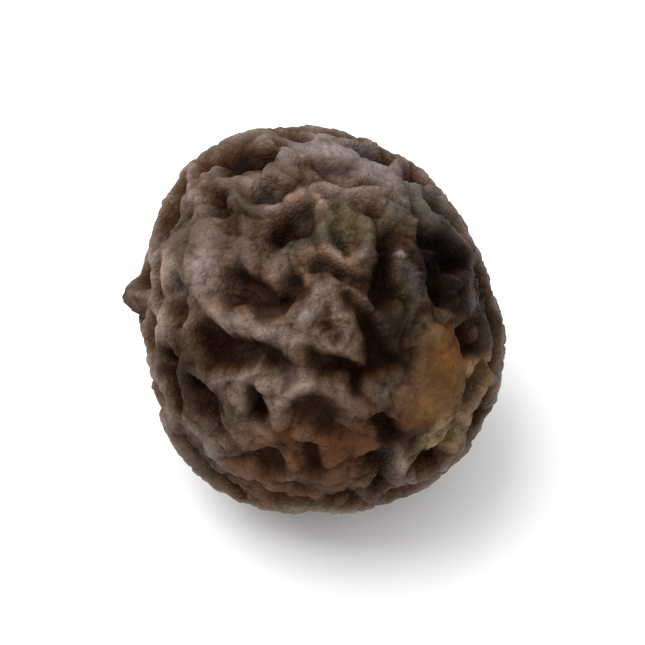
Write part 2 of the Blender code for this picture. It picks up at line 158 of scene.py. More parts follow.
# Hollows of the seen side: the places that each runs through and its reach, in millimetres, and its share of
# the full depth.
SEEN_HOLLOWS = (
    (((-1.35, 2.15), (-1.06, 2.06), (-0.72, 2.14)), 0.20, 1.0),
    (((-1.98, 1.75), (-2.00, 1.35)), 0.18, 0.7),
    (((-1.41, 1.60),), 0.18, 0.9),
    (((-0.75, 1.62), (-0.58, 1.75)), 0.16, 0.8),
    (((-0.55, 1.14), (-0.38, 1.22), (-0.22, 1.33)), 0.17, 1.0),
    (((-1.12, 0.60), (-1.05, 0.40), (-0.80, 0.25), (-0.50, 0.28), (-0.35, 0.50)), 0.18, 1.0),
    (((0.30, 1.05), (0.38, 1.25)), 0.12, 0.5),
    (((0.00, 0.76), (0.25, 0.62), (0.50, 0.50)), 0.14, 0.8),
    (((0.80, 1.10), (0.85, 0.80), (0.80, 0.50), (0.72, 0.35)), 0.18, 1.0),
    (((1.40, 1.12), (1.55, 1.05), (1.70, 0.88)), 0.22, 1.0),
    (((1.66, 0.95), (1.55, 0.75), (1.55, 0.40)), 0.19, 1.0),
    (((2.04, 0.65), (2.10, 0.35)), 0.17, 0.9),
    (((0.50, 0.12), (0.62, -0.10), (0.72, -0.35), (0.85, -0.58)), 0.18, 1.0),
    (((-0.08, -0.48), (0.15, -0.54), (0.35, -0.64), (0.48, -0.76)), 0.14, 1.0),
    (((0.06, 0.12), (0.08, -0.08)), 0.08, 0.5),
    (((-1.60, -0.22), (-1.35, -0.33), (-1.05, -0.36), (-0.65, -0.46)), 0.18, 1.0),
    (((-2.00, -0.45), (-1.98, -0.80), (-1.90, -1.05)), 0.18, 0.9),
    (((-1.62, -0.80), (-1.50, -1.05), (-1.42, -1.25)), 0.17, 0.9),
    (((-0.86, -0.98), (-0.84, -1.20)), 0.14, 1.0),
    (((-0.15, -1.12), (0.08, -1.25), (0.25, -1.40)), 0.20, 0.6),
    (((-0.68, -1.70), (-0.62, -1.85)), 0.15, 0.6),
    (((-0.15, -1.65), (-0.12, -1.95)), 0.16, 0.7),
    (((0.75, -1.30), (0.95, -1.42)), 0.20, 1.0),
    (((0.70, -1.75), (0.75, -2.10)), 0.17, 0.9),
    (((1.30, -1.88), (1.48, -1.85)), 0.18, 0.9),
    (((2.15, -0.95), (2.00, -1.35)), 0.17, 0.8),
    (((1.85, -0.15), (1.98, -0.40)), 0.17, 0.9),
    (((1.15, 0.12),), 0.16, 0.4),
    (((0.05, 2.03),), 0.16, 0.35),
    (((-1.90, 0.40), (-1.85, 0.15)), 0.14, 0.7),
    (((-1.75, -1.70), (-1.45, -2.00), (-1.15, -2.20)), 0.16, 0.7),
    (((-0.55, -2.30), (-0.25, -2.35)), 0.16, 0.6),
    (((0.20, -2.30), (0.45, -2.35)), 0.16, 0.6),
    (((1.25, 1.42),), 0.12, 0.5),
    (((0.62, 1.50),), 0.13, 0.5),
)

# Ridges of the seen side: the places that each runs through and its half width, in millimetres, and its share
# of the full height.
SEEN_RIDGES = (
    (((-1.62, 2.20), (-1.72, 1.90), (-1.55, 1.52), (-1.47, 1.19), (-1.55, 0.74), (-1.60, 0.50),
      (-1.39, 0.16), (-1.02, -0.05), (-0.69, -0.13), (-0.27, -0.05), (-0.11, 0.20), (0.02, 0.45)), 0.17, 1.0),
    (((-1.39, 1.98), (-1.18, 1.81), (-0.93, 1.77), (-0.69, 1.90), (-0.52, 2.14), (-0.27, 2.26)), 0.14, 0.9),
    (((-1.45, 2.33), (-1.10, 2.42), (-0.80, 2.45), (-0.52, 2.40), (-0.27, 2.26)), 0.15, 0.9),
    (((-0.27, 2.26), (0.00, 2.15), (0.26, 2.25), (0.55, 2.06), (0.80, 1.93), (1.05, 1.75)), 0.17, 0.9),
    (((-1.10, 1.60), (-0.85, 1.45), (-0.60, 1.42), (-0.30, 1.62), (0.00, 1.72), (0.35, 1.66), (0.62, 1.70),
      (0.95, 1.60)), 0.15, 0.8),
    (((-0.98, 1.30), (-1.02, 1.00), (-0.95, 0.78)), 0.14, 0.6),
    (((-0.62, 0.58), (-0.50, 0.78), (-0.27, 0.98), (-0.02, 1.15), (0.05, 1.40), (-0.05, 1.60)), 0.13, 0.9),
    (((-0.02, 1.15), (0.05, 0.95), (0.26, 0.76), (0.47, 0.84), (0.58, 1.07), (0.50, 1.32), (0.30, 1.45)),
     0.12, 0.8),
    (((0.02, 0.45), (0.18, 0.22), (0.30, -0.05), (0.40, -0.32)), 0.14, 0.8),
    (((-0.11, 0.20), (-0.12, -0.05), (-0.02, -0.25), (0.20, -0.35), (0.40, -0.40)), 0.12, 0.7),
    (((-1.62, -0.62), (-1.39, -0.79), (-1.10, -0.71), (-0.85, -0.65), (-0.62, -0.85), (-0.50, -0.98),
      (-0.27, -0.80), (-0.02, -0.78), (0.22, -0.84), (0.40, -1.05)), 0.14, 0.9),
    (((-1.10, -0.75), (-1.14, -1.05), (-1.16, -1.30), (-1.00, -1.50)), 0.13, 0.8),
    (((-0.52, -0.96), (-0.55, -1.20), (-0.60, -1.42), (-0.80, -1.48), (-1.00, -1.50)), 0.13, 0.7),
    (((-1.80, -1.21), (-1.59, -1.45), (-1.39, -1.70), (-1.14, -1.91), (-0.95, -1.98)), 0.15, 0.9),
    (((0.22, -0.84), (0.40, -1.15), (0.50, -1.40), (0.50, -1.70)), 0.12, 0.6),
    (((0.55, -0.90), (0.80, -0.88), (0.98, -1.00), (1.05, -1.25)), 0.12, 0.7),
    (((0.97, 0.86), (1.15, 0.66), (1.21, 0.28), (1.10, 0.02)), 0.12, 0.8),
    (((1.88, 0.53), (1.92, 0.20), (1.80, 0.00)), 0.12, 0.7),
    (((1.05, 1.75), (1.30, 1.55), (1.55, 1.35), (1.80, 1.15), (2.00, 0.85)), 0.17, 0.8),
    (((0.95, 1.60), (0.88, 1.38), (0.75, 1.25)), 0.12, 0.6),
    (((-2.45, 0.33), (-2.15, 0.55), (-1.97, 0.78), (-1.75, 0.95)), 0.13, 0.7),
    (((-2.35, 0.15), (-2.15, 0.05), (-2.00, -0.20)), 0.12, 0.8),
    (((1.03, -1.80), (1.05, -2.10)), 0.13, 0.9),
    (((-0.95, -1.98), (-0.60, -2.05), (-0.30, -2.00), (0.00, -2.12), (0.30, -2.05), (0.50, -2.20)),
     0.13, 0.6),
    (((-0.60, -1.42), (-0.40, -1.62), (-0.35, -1.85)), 0.12, 0.5),
    (((-0.35, -1.45), (-0.05, -1.48), (0.15, -1.65), (0.15, -1.90)), 0.12, 0.5),
    (((-1.60, 0.50), (-1.65, 0.15), (-1.75, -0.15), (-1.78, -0.50), (-1.78, -0.85), (-1.80, -1.21)),
     0.12, 0.7),
)

# Stains and painted light. Tints are linear colours. A stain shows its tint darker in the pits and brighter
# on the crests, as painted shade and painted light.
OLIVE = (0.067, 0.053, 0.027)
DARK_OLIVE = (0.0156, 0.0117, 0.0047)
OLIVE_TAN = (0.261, 0.172, 0.090)
GREY_GREEN = (0.060, 0.056, 0.045)
RED_BROWN = (0.087, 0.034, 0.0140)
DARK_RED = (0.020, 0.0055, 0.0031)
DULL_RED = (0.073, 0.038, 0.027)
DARK_BROWN = (0.020, 0.0101, 0.0047)
MID_BROWN = (0.070, 0.048, 0.037)
DULL_BROWN = (0.136, 0.074, 0.041)
ORANGE = (0.183, 0.069, 0.0164)
MAUVE = (0.082, 0.066, 0.069)
PAINTED_HIGHLIGHT_PINK = (0.187, 0.156, 0.156)
PALE_ROSE = (0.226, 0.176, 0.160)
PALE_TAN = (0.262, 0.152, 0.076)
PALE_BROWN = (0.226, 0.164, 0.131)
WARM_BROWN = (0.250, 0.150, 0.100)
PALE_GREY = (0.211, 0.172, 0.152)
NEAR_BLACK_AND_SHADE = (0.0055, 0.0023, 0.0023)
STAIN_AND_LIGHT_WOBBLE = 0.22
STAIN_AND_LIGHT_WOBBLE_LENGTH = 0.55 * MM
STAIN_AND_LIGHT_STEEPNESS = 3
STAIN_AND_LIGHT_SEED = 61
LEAST_STAIN_AND_LIGHT = 1e-6
# The stain tints are darkened in the pits as painted shade and brightened on the crests as painted light.
PAINTED_PIT_SHADE = 0.25
PAINTED_CREST_LIGHT = 1.35

# Stains of the seen side, painted shade and painted highlights among them: place and half size in
# millimetres, tint, and strength. Each lies over the ones before it in the list.
STAINS_AND_PAINTED_LIGHT = (
    # The near black marks on the right are partly dark skin and partly painted shade on the side away from
    # the key light.
    ((1.66, 0.92), (0.64, 0.56), NEAR_BLACK_AND_SHADE, 0.98),
    ((1.78, 0.36), (0.56, 0.50), NEAR_BLACK_AND_SHADE, 0.88),
    ((0.88, 0.72), (0.28, 0.56), NEAR_BLACK_AND_SHADE, 0.70),
    ((1.18, 0.66), (0.20, 0.36), NEAR_BLACK_AND_SHADE, 0.66),
    ((0.80, 0.00), (0.20, 0.24), NEAR_BLACK_AND_SHADE, 0.72),
    ((1.02, 0.10), (0.40, 0.30), DARK_OLIVE, 0.90),
    ((1.36, -0.15), (0.24, 0.16), OLIVE_TAN, 0.45),
    ((0.96, -0.42), (0.22, 0.44), DARK_BROWN, 0.75),
    ((1.15, -1.80), (0.62, 0.45), DARK_BROWN, 0.60),
    ((0.62, -1.62), (0.20, 0.26), DARK_BROWN, 0.40),
    ((0.62, -2.18), (0.34, 0.36), DARK_BROWN, 0.60),
    ((2.00, -1.20), (0.28, 0.60), DARK_BROWN, 0.60),
    # Darker brown skin and painted shade on the right edge, away from the key light.
    ((2.18, 0.00), (0.75, 0.60), DARK_BROWN, 0.92),
    ((-1.84, -0.64), (0.60, 0.54), DARK_BROWN, 0.88),
    ((-1.56, -0.74), (0.20, 0.24), DARK_BROWN, 0.56),
    ((-1.24, -1.12), (0.22, 0.28), DARK_BROWN, 0.68),
    ((-0.94, 1.35), (0.30, 0.25), DARK_BROWN, 0.62),
    ((-1.72, 0.92), (0.28, 0.24), DARK_BROWN, 0.30),
    ((-1.76, 1.06), (0.52, 0.44), MID_BROWN, 0.88),
    ((-1.10, 0.98), (0.26, 0.22), MID_BROWN, 0.75),
    ((-0.10, 0.50), (0.16, 0.16), MID_BROWN, 0.35),
    ((-1.20, 1.80), (0.30, 0.22), MID_BROWN, 0.58),
    ((-0.70, 2.02), (0.28, 0.16), MID_BROWN, 0.55),
    ((0.30, 1.22), (0.56, 0.36), OLIVE, 0.75),
    ((-0.31, 1.02), (0.28, 0.18), DARK_OLIVE, 0.88),
    ((1.35, 1.56), (0.78, 0.40), GREY_GREEN, 0.85),
    ((-1.56, -1.74), (0.54, 0.44), MID_BROWN, 0.86),
    ((0.20, -1.20), (0.55, 0.34), DULL_RED, 0.70),
    ((-0.80, -1.50), (0.24, 0.18), DULL_RED, 0.60),
    ((0.02, -1.66), (0.80, 0.56), RED_BROWN, 0.94),
    ((0.10, -2.12), (0.40, 0.34), RED_BROWN, 0.50),
    ((0.10, -2.12), (0.34, 0.30), DARK_BROWN, 0.35),
    ((-0.75, -1.80), (0.38, 0.36), RED_BROWN, 0.85),
    ((-1.02, -2.00), (0.36, 0.30), RED_BROWN, 0.45),
    ((-0.60, -2.28), (0.60, 0.24), RED_BROWN, 0.80),
    ((0.08, -1.20), (0.34, 0.24), DARK_RED, 0.18),
    ((-1.02, 2.12), (0.50, 0.20), DARK_RED, 0.90),
    # At the top, the grey and mauve marks are partly the skin's tint and partly a painted reflection of the
    # light above; the pale pink ones are painted highlights.
    ((0.10, 1.74), (0.80, 0.28), PALE_GREY, 0.12),
    ((0.10, 2.00), (0.32, 0.16), MAUVE, 0.45),
    ((0.60, 2.20), (0.55, 0.40), MAUVE, 0.55),
    ((0.44, 2.20), (0.44, 0.32), PAINTED_HIGHLIGHT_PINK, 0.50),
    ((0.80, 1.92), (0.38, 0.20), PAINTED_HIGHLIGHT_PINK, 0.40),
    ((-0.24, 2.24), (0.30, 0.26), PAINTED_HIGHLIGHT_PINK, 0.45),
    ((1.18, 0.50), (0.09, 0.24), MAUVE, 0.25),
    ((1.92, 0.28), (0.10, 0.22), MAUVE, 0.50),
    # A painted highlight.
    ((0.99, 0.87), (0.06, 0.06), PAINTED_HIGHLIGHT_PINK, 0.80),
    # A painted highlight.
    ((0.97, -1.80), (0.19, 0.26), PALE_BROWN, 0.66),
    ((-0.27, 1.49), (0.22, 0.16), WARM_BROWN, 0.75),
    ((-0.78, 1.74), (0.24, 0.12), PALE_BROWN, 0.40),
    ((0.50, 1.60), (0.30, 0.16), PALE_BROWN, 0.30),
    ((-2.12, 0.08), (0.20, 0.26), PALE_BROWN, 0.85),
    ((-2.00, 0.62), (0.34, 0.24), PALE_BROWN, 0.75),
    ((-1.29, 0.46), (0.16, 0.34), WARM_BROWN, 0.50),
    ((-0.40, 0.50), (0.22, 0.17), WARM_BROWN, 0.88),
    ((-0.80, 0.12), (0.25, 0.13), WARM_BROWN, 0.62),
    ((-0.80, 0.38), (0.26, 0.16), WARM_BROWN, 0.32),
    ((0.44, 0.40), (0.20, 0.32), WARM_BROWN, 0.50),
    ((0.06, 0.78), (0.26, 0.16), WARM_BROWN, 0.58),
    ((-0.60, -0.42), (0.22, 0.14), WARM_BROWN, 0.35),
    ((-1.00, -0.40), (0.24, 0.13), WARM_BROWN, 0.38),
    ((0.02, -0.50), (0.22, 0.12), WARM_BROWN, 0.40),
    ((-0.42, -0.70), (0.26, 0.14), PALE_BROWN, 0.50),
    ((-0.99, -0.90), (0.16, 0.18), PALE_BROWN, 0.58),
    ((-1.50, 0.00), (0.18, 0.16), WARM_BROWN, 0.35),
    ((-1.48, 0.70), (0.18, 0.34), PALE_ROSE, 0.66),
    ((-0.72, -0.10), (0.42, 0.13), PALE_ROSE, 0.15),
    ((-1.50, -1.50), (0.34, 0.28), PALE_ROSE, 0.20),
    ((-1.10, -0.02), (0.28, 0.14), MID_BROWN, 0.45),
    ((-0.63, 0.78), (0.24, 0.17), MID_BROWN, 0.55),
    ((-1.58, 0.25), (0.27, 0.19), MID_BROWN, 0.56),
    ((-2.42, 0.32), (0.16, 0.16), DARK_OLIVE, 0.85),
    ((2.02, -0.84), (0.46, 0.24), OLIVE_TAN, 0.70),
    ((2.06, -0.60), (0.40, 0.17), PALE_TAN, 0.92),
    ((0.80, -0.88), (0.13, 0.10), PALE_GREY, 0.30),
    ((1.66, -0.42), (0.34, 0.32), ORANGE, 0.70),
    ((1.18, -0.75), (0.17, 0.46), DULL_BROWN, 0.60),
    ((1.60, -1.50), (0.38, 0.32), OLIVE_TAN, 0.85),
)

# Solid noises: length, detail, roughness, and a place along a fourth axis that sets each one apart
MOTTLE_NOISE = (0.24 * MM, 4, 0.65, 0)
TAN_NOISE = (0.50 * MM, 4, 0.65, 3)
SCAR_NOISE = (0.20 * MM, 4, 0.7, 4)
DUST_NOISE = (0.13 * MM, 3, 0.7, 5)
FLECK_NOISE = (0.07 * MM, 2, 0.6, 6)
GRAIN_NOISE = (0.10 * MM, 3, 0.6, 7)
FINE_GRAIN_NOISE = (0.034 * MM, 2, 0.6, 8)
GLOSS_NOISE = (0.35 * MM, 3, 0.6, 9)
FRAY_NOISE = (0.22 * MM, 4, 0.65, 10)
RED_NOISE = (1.5 * MM, 2, 0.5, 11)
OLIVE_NOISE = (1.5 * MM, 2, 0.5, 12)

# Skin. Colours are linear. Each stop has a height on the net, from 0 in a pit to 1 on a crest, but those of
# the worn patch have a value of its noise. The dark low stops are partly the skin's own tone and partly
# painted shade in the pits. An edge is the pair of values between which a tint goes from none to all of its
# share.
CREST_LIFT = 0.45
PIT_DROP = 0.60
FLAT_LEVEL = 0.50
FINE_RANGE = 0.04 * MM
# FINE_SHADE paints shade in the fine wrinkles.
FINE_SHADE = 0.22
MOTTLE_RANGE = (0.25, 0.75)
MOTTLE_SHADE = 0.16
RED_EDGE = (0.52, 0.68)
OLIVE_EDGE = (0.60, 0.76)
SKIN_STOPS = (
    (0.00, (0.0109, 0.0025, 0.0009)),
    (0.30, (0.032, 0.0129, 0.0062)),
    (0.55, (0.069, 0.040, 0.025)),
    (0.80, (0.127, 0.088, 0.069)),
    (1.00, (0.207, 0.164, 0.148)),
)
RED_STOPS = (
    (0.00, (0.0133, 0.0019, 0.0008)),
    (0.30, (0.039, 0.0105, 0.0055)),
    (0.55, (0.076, 0.034, 0.021)),
    (0.80, (0.126, 0.078, 0.062)),
    (1.00, (0.204, 0.156, 0.140)),
)
OLIVE_STOPS = (
    (0.00, (0.0086, 0.0034, 0.0009)),
    (0.30, (0.027, 0.0160, 0.0062)),
    (0.55, (0.060, 0.044, 0.023)),
    (0.80, (0.114, 0.092, 0.062)),
    (1.00, (0.187, 0.164, 0.131)),
)
TAN_STOPS = (
    (0.25, (0.035, 0.0148, 0.0055)),
    (0.45, (0.092, 0.042, 0.0140)),
    (0.60, (0.144, 0.072, 0.025)),
    (0.80, (0.191, 0.111, 0.048)),
)
TAN_REACH = 0.97
TAN_SOFTNESS = 0.15
TAN_RIM_EDGE = (0.3, 1)
# TAN_RIM_SHADE paints shade on the worn patch towards the groove round it.
TAN_RIM_SHADE = 0.22
TAN_EDGE = (0.25, 0.80)
TAN_OUTER_EDGE = (0.05, 0.35)
FRAY_RANGE = (0.2, 0.8)
TAN_FRAYING = 0.45
SCAR_RANGE = (0.3, 0.7)
SCAR_MOTTLE = 0.12
SCAR_TINT = 0.70
WOODY_STOPS = (
    (0.15, (0.0125, 0.0062, 0.0039)),
    (0.50, (0.078, 0.051, 0.033)),
    (0.95, (0.226, 0.172, 0.125)),
)
DUST_EDGE = (0.50, 0.70)
DUST_HEIGHTS = (0.45, 0.95)
DUST_SHARE = 0.40
DUST_COLOUR = (0.234, 0.187, 0.170)
FLECK_EDGE = (0.62, 0.72)
FLECK_SHARE = 0.55
FLECK_COLOUR = (0.0156, 0.0094, 0.0078)
LEATHER_LENGTH = 0.085 * MM
LEATHER_WARP_LENGTH = 0.12 * MM
LEATHER_WARP_DETAIL = 1
LEATHER_WARP_MIDDLE = (0.5, 0.5, 0.5)
LEATHER_WARP = 0.05 * MM
LEATHER_EDGE = 0.30
# LEATHER_SHADE paints shade in the grooves between the leather's plates.
LEATHER_SHADE = 0.05
GRAIN_RATIO = 2.0
FINE_GRAIN_RATIO = 0.7
GRAIN_HEIGHT = 0.014 * MM
GRAIN_STRENGTH = 0.85
GLOSS_RANGE = (0.3, 0.7)
ROUGHNESSES = (0.48, 0.72)
SPECULAR = 0.04
SPECULAR_TINT = (1.0, 0.80, 0.70)
SHEEN = 0.01
SHEEN_ROUGHNESS = 0.5
SHEEN_TINT = (1.0, 0.93, 0.90)

# Stage
FLOOR_SIZE = 400 * MM
FLOOR_GAP = 0.01 * MM
FLOOR_COLOUR = (0.94, 0.94, 0.94)
FLOOR_ROUGHNESS = 0.7
WORLD_COLOUR = (1.0, 1.0, 1.0)
WORLD_STRENGTH = 0.90
LIGHTS = (
    ("key", (-22 * MM, 6 * MM, 50 * MM), 50 * MM, 0.0308),
    ("fill", (34 * MM, -34 * MM, 30 * MM), 50 * MM, 0.0026),
)
LENS = 200
SENSOR = 36
CLIP_START = 0.5 * MM
VIEW_WIDTH = 8.6 * MM


def seen_axes():
    """Right, up and towards the eye, as unit vectors."""
    sine = math.sin(VIEW_ELEVATION)
    cosine = math.cos(VIEW_ELEVATION)
    return np.array(((1, 0, 0), (0, sine, cosine), (0, -cosine, sine)))


def unit(vectors):
    """The vectors, each at length 1."""
    return vectors / np.linalg.norm(vectors, axis=-1, keepdims=True)


def bump(offset, half_width, power=2):
    """A smooth hump: 1 at an offset of 0, near 0 past its half width, and steeper with a higher power."""
    return np.exp(-(np.abs(offset / half_width) ** power))


def distance(directions, centre):
    """Straight distance on the body's sphere from each direction to a centre, or to a centre of its own."""
    return BODY_RADIUS * np.linalg.norm(directions - centre, axis=1)


def smooth_noise(directions, wavelength, seed):
    """A smooth random value of spread 1 for each direction, from a sum of waves."""
    rng = np.random.default_rng(seed)
    headings = unit(rng.normal(size=(WAVE_COUNT, 3)))
    pace = 2 * math.pi * BODY_RADIUS / wavelength * rng.uniform(*WAVE_SPREAD, WAVE_COUNT)
    phases = rng.uniform(0, 2 * math.pi, WAVE_COUNT)
    waves = np.sin(directions @ (headings * pace[:, None]).T + phases)
    return waves.sum(axis=1) / math.sqrt(WAVE_COUNT / 2)


def shoulder_height(directions):
    """Height of the body's shoulders and flats."""
    right, up, _ = seen_axes()
    total = np.zeros(len(directions))
    for angle, height, spread in SHOULDERS:
        side = math.cos(math.radians(angle)) * right + math.sin(math.radians(angle)) * up
        off = np.linalg.norm(directions - side, axis=1)
        total += height * bump(off, math.sqrt(2) * math.radians(spread))
    return total


def seen_direction(across, up):
    """The direction from the body's middle to a place on its seen side, by closer and closer tries."""
    radius = BODY_RADIUS
    for _ in range(PLACE_TRIES):
        depth = math.sqrt(max(radius**2 - across**2 - up**2, 0))
        direction = unit(np.array((across, up, depth)) @ seen_axes())
        radius = BODY_RADIUS + shoulder_height(direction[None])[0]
    return direction


def surface_axes(centre):
    """Right and up along the surface in a direction from the body's middle, as the eye sees them."""
    up = seen_axes()[1]
    upwards = unit(up - centre * (up @ centre))
    return np.cross(upwards, centre), upwards


def lattice_directions(count):
    """Directions spread evenly over a sphere, along a spiral from pole to pole."""
    step = np.arange(count) + 0.5
    height = 1 - 2 * step / count
    ring = np.sqrt(1 - height**2)
    turn = step * math.pi * (3 - math.sqrt(5))
    return np.column_stack((ring * np.cos(turn), ring * np.sin(turn), height))


def wander(directions):
    """The directions, shifted a little sideways so that ridges wind instead of running straight."""
    shifted = directions
    seed = WANDER_SEED
    for size, wavelength in WANDERS:
        shift = np.column_stack([smooth_noise(directions, wavelength, seed + axis) for axis in range(3)])
        shifted = shifted + shift * size / BODY_RADIUS
        seed += 3
    return unit(shifted)


def line_gap(directions, line):
    """Distance on the body's sphere from each direction to a line through the directions of a few places."""
    gap = distance(directions, line[0])
    for start, end in zip(line, line[1:]):
        run = end - start
        share = np.clip((directions - start) @ run / (run @ run), 0, 1)
        nearest = start + share[:, None] * run
        gap = np.minimum(gap, distance(directions, nearest))
    return gap


def drawn_lines(strokes):
    """Each drawn line's directions, shifted as the net is, with its width and share."""
    lines = []
    for places, width, share in strokes:
        line = np.array([seen_direction(across * MM, up * MM) for across, up in places])
        lines.append((wander(line), width * MM, share))
    return lines


def make_cells(drawn_hollows):
    """Each cell's shifted direction, reach and depth. Cells of no depth stand for the drawn hollows."""
    rng = np.random.default_rng(CELL_SEED)
    seen = np.concatenate([line for line, _, _ in drawn_hollows])
    towards = seen_axes()[2]
    cell_area = CELL_SPACING**2 * math.sqrt(3) / 2
    lattice = lattice_directions(round(4 * math.pi * BODY_RADIUS**2 / cell_area))
    lattice = unit(lattice + rng.normal(size=lattice.shape) * CELL_JITTER / BODY_RADIUS)
    hidden = wander(lattice[lattice @ towards < math.cos(SEEN_SIDE_SPREAD)])
    apart = np.array([distance(seen, centre).min() for centre in hidden])
    hidden = hidden[apart > CELL_GAP]
    centres = np.concatenate((seen, hidden))
    reaches = rng.uniform(*CELL_REACHES, len(centres))
    depths = rng.uniform(*CELL_DEPTHS, len(centres))
    depths[: len(seen)] = 0
    return centres, reaches, depths


def join_cells(centres, depths):
    """Pairs of neighbouring cells that run together, in chains of up to LONGEST_CHAIN cells."""
    rng = np.random.default_rng(JOIN_SEED)
    chain = np.arange(len(centres))
    pairs = []
    for one in rng.permutation(np.flatnonzero(depths)):
        if rng.random() < LONE_CHANCE:
            continue
        gaps = distance(centres, centres[one])
        for other in np.argsort(gaps)[1:NEAREST_CELLS]:
            joined = (chain == chain[one]) | (chain == chain[other])
            fits = chain[one] != chain[other] and joined.sum() <= LONGEST_CHAIN
            if fits and depths[other] > 0 and gaps[other] < JOIN_GAP:
                chain[joined] = chain[one]
                pairs.append((one, other))
                break
    return np.array(pairs)


def make_valleys(centres, depths, pairs):
    """Start, end, reach and depth of the hollow that joins each pair of cells."""
    rng = np.random.default_rng(JOIN_SEED)
    starts, ends = centres[pairs.T]
    reaches = rng.uniform(*VALLEY_REACHES, len(pairs))
    return starts, ends, reaches, depths[pairs].mean(axis=1)


def make_ridges(depths, pairs):
    """Share of the full height, and half width, of the ridge between each two cells."""
    rng = np.random.default_rng(RIDGE_SEED)
    size = (len(depths), len(depths))
    shares = rng.uniform(*RIDGE_SHARES, size)
    shares[rng.random(size) < LOW_RIDGE_CHANCE] = LOW_RIDGE_SHARE
    widths = rng.uniform(*RIDGE_HALF_WIDTHS, size)
    shares = np.triu(shares) + np.triu(shares, 1).T
    widths = np.triu(widths) + np.triu(widths, 1).T
    drawn = depths == 0
    shares[drawn[:, None] & drawn[None, :]] = LOW_RIDGE_SHARE
    one, other = pairs.T
    shares[one, other] = LOW_RIDGE_SHARE
    shares[other, one] = LOW_RIDGE_SHARE
    return shares, widths


def valley_hollows(directions, valleys):
    """How much of a hollow each valley gives at each direction, from 0 to 1."""
    starts, ends, reaches, depths = valleys
    runs = ends - starts
    lengths = (runs**2).sum(axis=1)
    along = directions @ runs.T - (starts * runs).sum(axis=1)
    share = np.clip(along / lengths, 0, 1)
    squares = 2 - 2 * directions @ starts.T - 2 * share * along + share**2 * lengths
    gaps = BODY_RADIUS * np.sqrt(np.maximum(squares, 0))
    return depths * bump(gaps, reaches, WALL_STEEPNESS)


def grown_net(directions, cells, valleys, ridges):
    """How much of a ridge, and of a hollow, the cells give at each direction, from 0 to 1."""
    centres, reaches, depths = cells
    ridge_shares, ridge_widths = ridges
    gaps = BODY_RADIUS * np.sqrt(np.maximum(2 - 2 * directions @ centres.T, 0))
    hollows = np.hstack((depths * bump(gaps, reaches, WALL_STEEPNESS), valley_hollows(directions, valleys)))
    hollow = (hollows**BLEND_POWER).sum(axis=1) ** (1 / BLEND_POWER)
    nearest = np.argpartition(gaps, NEAREST_CELLS, axis=1)[:, :NEAREST_CELLS]
    near_gaps = np.take_along_axis(gaps, nearest, axis=1)
    closest = near_gaps.min(axis=1)
    clear = np.ones(len(directions))
    for first in range(NEAREST_CELLS):
        for second in range(first + 1, NEAREST_CELLS):
            one = nearest[:, first]
            other = nearest[:, second]
            apart = BODY_RADIUS * np.linalg.norm(centres[one] - centres[other], axis=1)
            farther = np.maximum(near_gaps[:, first], near_gaps[:, second])
            off_ridge = (farther**2 - closest**2) / (2 * apart)
            clear *= 1 - ridge_shares[one, other] * bump(off_ridge, ridge_widths[one, other])
    return 1 - clear, hollow


def add_drawn(directions, ridge, hollow, drawn_ridges, drawn_hollows):
    """The net's ridges and hollows with the drawn ones among them."""
    clear = 1 - ridge
    for line, half_width, share in drawn_ridges:
        clear = np.minimum(clear, 1 - share * bump(line_gap(directions, line), half_width))
    powered = hollow**BLEND_POWER
    for line, reach, share in drawn_hollows:
        powered += (share * bump(line_gap(directions, line), reach, WALL_STEEPNESS)) ** BLEND_POWER
    return 1 - clear, np.minimum(powered ** (1 / BLEND_POWER), 1)


def net(directions):
    """How much of the net's ridges, and of its hollows, there is at each direction, from 0 to 1."""
    drawn_hollows = drawn_lines(SEEN_HOLLOWS)
    drawn_ridges = drawn_lines(SEEN_RIDGES)
    cells = make_cells(drawn_hollows)
    pairs = join_cells(cells[0], cells[2])
    valleys = make_valleys(cells[0], cells[2], pairs)
    ridges = make_ridges(cells[2], pairs)
    parts = []
    for start in range(0, len(directions), CHUNK):
        shifted = wander(directions[start : start + CHUNK])
        ridge, hollow = grown_net(shifted, cells, valleys, ridges)
        parts.append(add_drawn(shifted, ridge, hollow, drawn_ridges, drawn_hollows))
    return tuple(np.concatenate(part) for part in zip(*parts))


def nub_height(directions):
    """Height of the pointed nub."""
    off = distance(directions, seen_direction(*NUB_PLACE))
    off = np.hypot(off, NUB_TIP_RADIUS) - NUB_TIP_RADIUS
    return NUB_HEIGHT * bump(off, NUB_SPREAD, NUB_SHARPNESS)


def scar_height(directions):
    """Height of the stem scar's ring and hole, and how much of the net it takes away."""
    off = distance(directions, unit(np.array(SCAR_DIRECTION)))
    ring = SCAR_RING_HEIGHT * bump(off - SCAR_RING_RADIUS, SCAR_RING_HALF_WIDTH)
    hole = SCAR_HOLE_DEPTH * bump(off, SCAR_HOLE_RADIUS, WALL_STEEPNESS)
    cover = bump(off, SCAR_CLEAR_RADIUS, SCAR_CLEAR_STEEPNESS)
    return ring - hole, cover


def patch_edge(directions):
    """Distance from the middle of the worn patch, as a share of its uneven half size."""
    centre = seen_direction(*PATCH_PLACE)
    sideways, upwards = surface_axes(centre)
    offset = (directions - centre) * BODY_RADIUS
    across = offset @ sideways / PATCH_HALF_WIDTH
    along = offset @ upwards / PATCH_HALF_HEIGHT
    depth = offset @ centre / PATCH_HALF_WIDTH
    wobble = PATCH_EDGE_WOBBLE * smooth_noise(directions, PATCH_WOBBLE_LENGTH, PATCH_SEED)
    return np.sqrt(across**2 + along**2 + depth**2) + wobble


